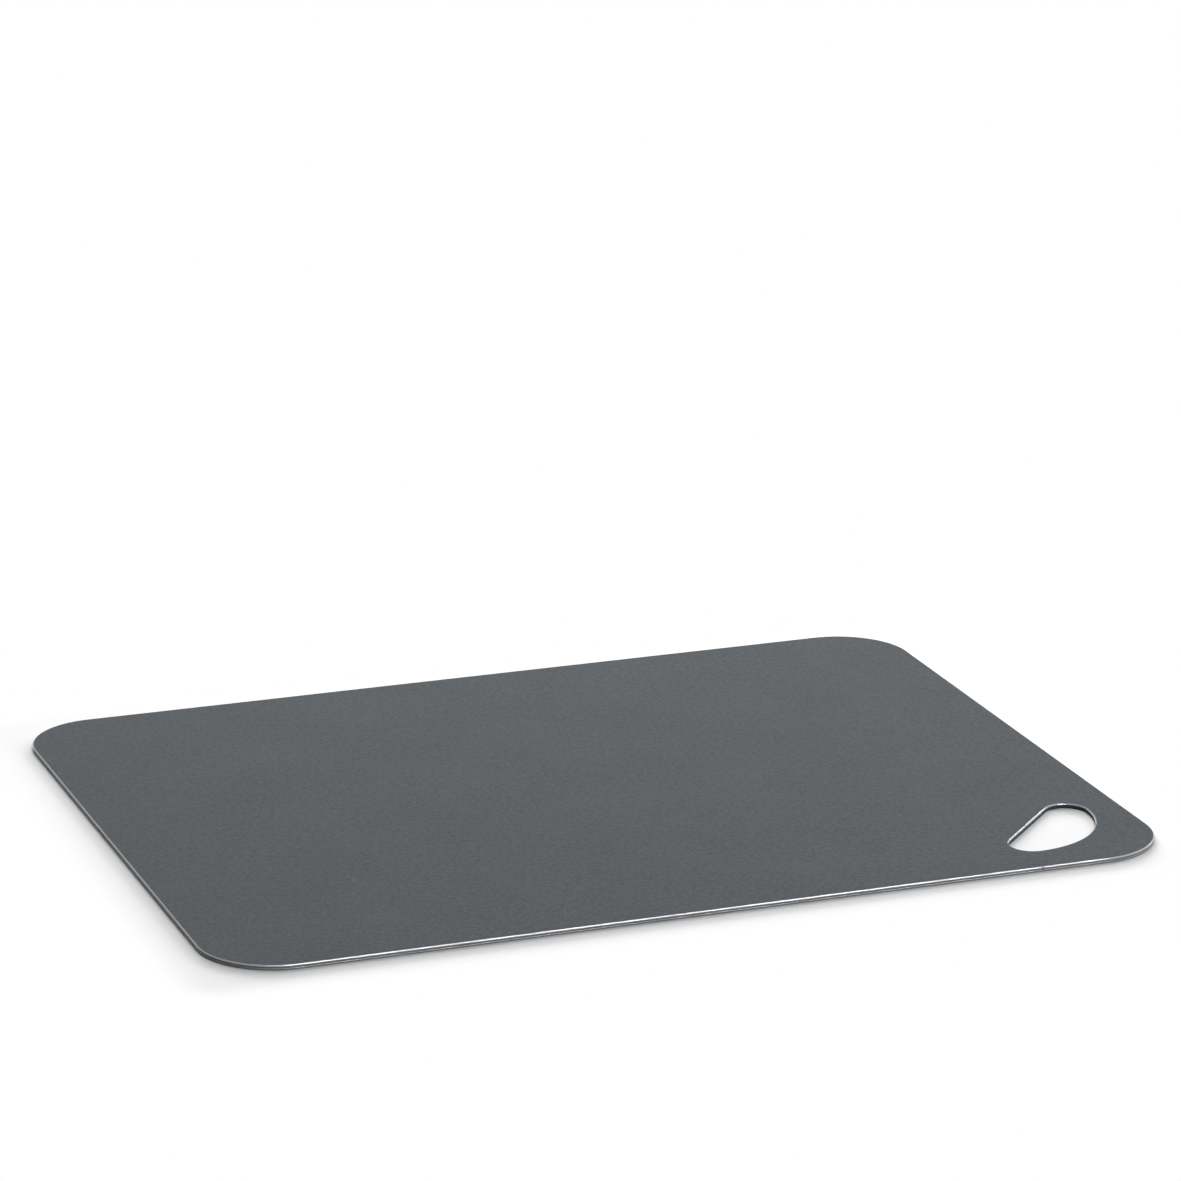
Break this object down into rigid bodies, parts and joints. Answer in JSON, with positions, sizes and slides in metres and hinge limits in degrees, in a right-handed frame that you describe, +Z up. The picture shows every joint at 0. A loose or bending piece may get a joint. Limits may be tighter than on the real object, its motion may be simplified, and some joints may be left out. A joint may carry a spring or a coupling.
{
  "type": "flexible cutting mat",
  "caption": "Thin flat flexible cutting mat with rounded corners and a D-shaped grip hole in one corner; its ends curl up into a pouring chute.",
  "frame": {"origin": "middle of the underside, on the worktop", "axes": "+X along the long side towards the end with the grip hole, +Y from the front edge to the back edge, +Z up out of the cutting face"},
  "size_m": [0.38, 0.29, 0.002],
  "materials": {
    "cutting_sheet": "finely grained matte slate grey thermoplastic",
    "grip_backing": "soft matte dark grey non-slip thermoplastic rubber"
  },
  "bodies": {
    "middle": {"cutting_sheet_middle": "cutting_sheet", "grip_backing_middle": "grip_backing"},
    "right_01": {"cutting_sheet_right_01": "cutting_sheet", "grip_backing_right_01": "grip_backing"},
    "right_02": {"cutting_sheet_right_02": "cutting_sheet", "grip_backing_right_02": "grip_backing"},
    "right_03": {"cutting_sheet_right_03": "cutting_sheet", "grip_backing_right_03": "grip_backing"},
    "right_04": {"cutting_sheet_right_04": "cutting_sheet", "grip_backing_right_04": "grip_backing"},
    "right_05": {"cutting_sheet_right_05": "cutting_sheet", "grip_backing_right_05": "grip_backing"},
    "right_06": {"cutting_sheet_right_06": "cutting_sheet", "grip_backing_right_06": "grip_backing"},
    "right_07": {"cutting_sheet_right_07": "cutting_sheet", "grip_backing_right_07": "grip_backing"},
    "right_08": {"cutting_sheet_right_08": "cutting_sheet", "grip_backing_right_08": "grip_backing"},
    "right_09": {"cutting_sheet_right_09": "cutting_sheet", "grip_backing_right_09": "grip_backing"},
    "right_10": {"cutting_sheet_right_10": "cutting_sheet", "grip_backing_right_10": "grip_backing"},
    "right_11": {"cutting_sheet_right_11": "cutting_sheet", "grip_backing_right_11": "grip_backing"},
    "right_flap": {"cutting_sheet_right_flap": "cutting_sheet", "grip_backing_right_flap": "grip_backing"},
    "left_01": {"cutting_sheet_left_01": "cutting_sheet", "grip_backing_left_01": "grip_backing"},
    "left_02": {"cutting_sheet_left_02": "cutting_sheet", "grip_backing_left_02": "grip_backing"},
    "left_03": {"cutting_sheet_left_03": "cutting_sheet", "grip_backing_left_03": "grip_backing"},
    "left_04": {"cutting_sheet_left_04": "cutting_sheet", "grip_backing_left_04": "grip_backing"},
    "left_05": {"cutting_sheet_left_05": "cutting_sheet", "grip_backing_left_05": "grip_backing"},
    "left_06": {"cutting_sheet_left_06": "cutting_sheet", "grip_backing_left_06": "grip_backing"},
    "left_07": {"cutting_sheet_left_07": "cutting_sheet", "grip_backing_left_07": "grip_backing"},
    "left_08": {"cutting_sheet_left_08": "cutting_sheet", "grip_backing_left_08": "grip_backing"},
    "left_09": {"cutting_sheet_left_09": "cutting_sheet", "grip_backing_left_09": "grip_backing"},
    "left_10": {"cutting_sheet_left_10": "cutting_sheet", "grip_backing_left_10": "grip_backing"},
    "left_11": {"cutting_sheet_left_11": "cutting_sheet", "grip_backing_left_11": "grip_backing"},
    "left_flap": {"cutting_sheet_left_flap": "cutting_sheet", "grip_backing_left_flap": "grip_backing"}
  },
  "joints": [
    {"name": "right_bend_01", "type": "hinge", "parent": "middle", "child": "right_01", "pos_m": [0.00536, 0, 0.002], "axis": [0, -1, 0], "range_deg": [0, 7.5], "stiffness_Nm_per_rad": 1.3},
    {"name": "right_bend_02", "type": "hinge", "parent": "right_01", "child": "right_02", "pos_m": [0.01609, 0, 0.002], "axis": [0, -1, 0], "range_deg": [0, 7.5], "stiffness_Nm_per_rad": 1.3},
    {"name": "right_bend_03", "type": "hinge", "parent": "right_02", "child": "right_03", "pos_m": [0.02682, 0, 0.002], "axis": [0, -1, 0], "range_deg": [0, 7.5], "stiffness_Nm_per_rad": 1.3},
    {"name": "right_bend_04", "type": "hinge", "parent": "right_03", "child": "right_04", "pos_m": [0.03755, 0, 0.002], "axis": [0, -1, 0], "range_deg": [0, 7.5], "stiffness_Nm_per_rad": 1.3},
    {"name": "right_bend_05", "type": "hinge", "parent": "right_04", "child": "right_05", "pos_m": [0.04827, 0, 0.002], "axis": [0, -1, 0], "range_deg": [0, 7.5], "stiffness_Nm_per_rad": 1.3},
    {"name": "right_bend_06", "type": "hinge", "parent": "right_05", "child": "right_06", "pos_m": [0.059, 0, 0.002], "axis": [0, -1, 0], "range_deg": [0, 7.5], "stiffness_Nm_per_rad": 1.3},
    {"name": "right_bend_07", "type": "hinge", "parent": "right_06", "child": "right_07", "pos_m": [0.06973, 0, 0.002], "axis": [0, -1, 0], "range_deg": [0, 7.5], "stiffness_Nm_per_rad": 1.3},
    {"name": "right_bend_08", "type": "hinge", "parent": "right_07", "child": "right_08", "pos_m": [0.08046, 0, 0.002], "axis": [0, -1, 0], "range_deg": [0, 7.5], "stiffness_Nm_per_rad": 1.3},
    {"name": "right_bend_09", "type": "hinge", "parent": "right_08", "child": "right_09", "pos_m": [0.09119, 0, 0.002], "axis": [0, -1, 0], "range_deg": [0, 7.5], "stiffness_Nm_per_rad": 1.3},
    {"name": "right_bend_10", "type": "hinge", "parent": "right_09", "child": "right_10", "pos_m": [0.10191, 0, 0.002], "axis": [0, -1, 0], "range_deg": [0, 7.5], "stiffness_Nm_per_rad": 1.3},
    {"name": "right_bend_11", "type": "hinge", "parent": "right_10", "child": "right_11", "pos_m": [0.11264, 0, 0.002], "axis": [0, -1, 0], "range_deg": [0, 7.5], "stiffness_Nm_per_rad": 1.3},
    {"name": "right_bend_12", "type": "hinge", "parent": "right_11", "child": "right_flap", "pos_m": [0.12337, 0, 0.002], "axis": [0, -1, 0], "range_deg": [0, 7.5], "stiffness_Nm_per_rad": 1.3},
    {"name": "left_bend_01", "type": "hinge", "parent": "middle", "child": "left_01", "pos_m": [-0.00536, 0, 0.002], "axis": [0, 1, 0], "range_deg": [0, 7.5], "stiffness_Nm_per_rad": 1.3},
    {"name": "left_bend_02", "type": "hinge", "parent": "left_01", "child": "left_02", "pos_m": [-0.01609, 0, 0.002], "axis": [0, 1, 0], "range_deg": [0, 7.5], "stiffness_Nm_per_rad": 1.3},
    {"name": "left_bend_03", "type": "hinge", "parent": "left_02", "child": "left_03", "pos_m": [-0.02682, 0, 0.002], "axis": [0, 1, 0], "range_deg": [0, 7.5], "stiffness_Nm_per_rad": 1.3},
    {"name": "left_bend_04", "type": "hinge", "parent": "left_03", "child": "left_04", "pos_m": [-0.03755, 0, 0.002], "axis": [0, 1, 0], "range_deg": [0, 7.5], "stiffness_Nm_per_rad": 1.3},
    {"name": "left_bend_05", "type": "hinge", "parent": "left_04", "child": "left_05", "pos_m": [-0.04827, 0, 0.002], "axis": [0, 1, 0], "range_deg": [0, 7.5], "stiffness_Nm_per_rad": 1.3},
    {"name": "left_bend_06", "type": "hinge", "parent": "left_05", "child": "left_06", "pos_m": [-0.059, 0, 0.002], "axis": [0, 1, 0], "range_deg": [0, 7.5], "stiffness_Nm_per_rad": 1.3},
    {"name": "left_bend_07", "type": "hinge", "parent": "left_06", "child": "left_07", "pos_m": [-0.06973, 0, 0.002], "axis": [0, 1, 0], "range_deg": [0, 7.5], "stiffness_Nm_per_rad": 1.3},
    {"name": "left_bend_08", "type": "hinge", "parent": "left_07", "child": "left_08", "pos_m": [-0.08046, 0, 0.002], "axis": [0, 1, 0], "range_deg": [0, 7.5], "stiffness_Nm_per_rad": 1.3},
    {"name": "left_bend_09", "type": "hinge", "parent": "left_08", "child": "left_09", "pos_m": [-0.09119, 0, 0.002], "axis": [0, 1, 0], "range_deg": [0, 7.5], "stiffness_Nm_per_rad": 1.3},
    {"name": "left_bend_10", "type": "hinge", "parent": "left_09", "child": "left_10", "pos_m": [-0.10191, 0, 0.002], "axis": [0, 1, 0], "range_deg": [0, 7.5], "stiffness_Nm_per_rad": 1.3},
    {"name": "left_bend_11", "type": "hinge", "parent": "left_10", "child": "left_11", "pos_m": [-0.11264, 0, 0.002], "axis": [0, 1, 0], "range_deg": [0, 7.5], "stiffness_Nm_per_rad": 1.3},
    {"name": "left_bend_12", "type": "hinge", "parent": "left_11", "child": "left_flap", "pos_m": [-0.12337, 0, 0.002], "axis": [0, 1, 0], "range_deg": [0, 7.5], "stiffness_Nm_per_rad": 1.3}
  ],
  "couplings": [
    {"joint": "right_bend_02", "follows": "right_bend_01", "ratio": 1},
    {"joint": "right_bend_03", "follows": "right_bend_01", "ratio": 1},
    {"joint": "right_bend_04", "follows": "right_bend_01", "ratio": 1},
    {"joint": "right_bend_05", "follows": "right_bend_01", "ratio": 1},
    {"joint": "right_bend_06", "follows": "right_bend_01", "ratio": 1},
    {"joint": "right_bend_07", "follows": "right_bend_01", "ratio": 1},
    {"joint": "right_bend_08", "follows": "right_bend_01", "ratio": 1},
    {"joint": "right_bend_09", "follows": "right_bend_01", "ratio": 1},
    {"joint": "right_bend_10", "follows": "right_bend_01", "ratio": 1},
    {"joint": "right_bend_11", "follows": "right_bend_01", "ratio": 1},
    {"joint": "right_bend_12", "follows": "right_bend_01", "ratio": 1},
    {"joint": "left_bend_02", "follows": "left_bend_01", "ratio": 1},
    {"joint": "left_bend_03", "follows": "left_bend_01", "ratio": 1},
    {"joint": "left_bend_04", "follows": "left_bend_01", "ratio": 1},
    {"joint": "left_bend_05", "follows": "left_bend_01", "ratio": 1},
    {"joint": "left_bend_06", "follows": "left_bend_01", "ratio": 1},
    {"joint": "left_bend_07", "follows": "left_bend_01", "ratio": 1},
    {"joint": "left_bend_08", "follows": "left_bend_01", "ratio": 1},
    {"joint": "left_bend_09", "follows": "left_bend_01", "ratio": 1},
    {"joint": "left_bend_10", "follows": "left_bend_01", "ratio": 1},
    {"joint": "left_bend_11", "follows": "left_bend_01", "ratio": 1},
    {"joint": "left_bend_12", "follows": "left_bend_01", "ratio": 1}
  ]
}
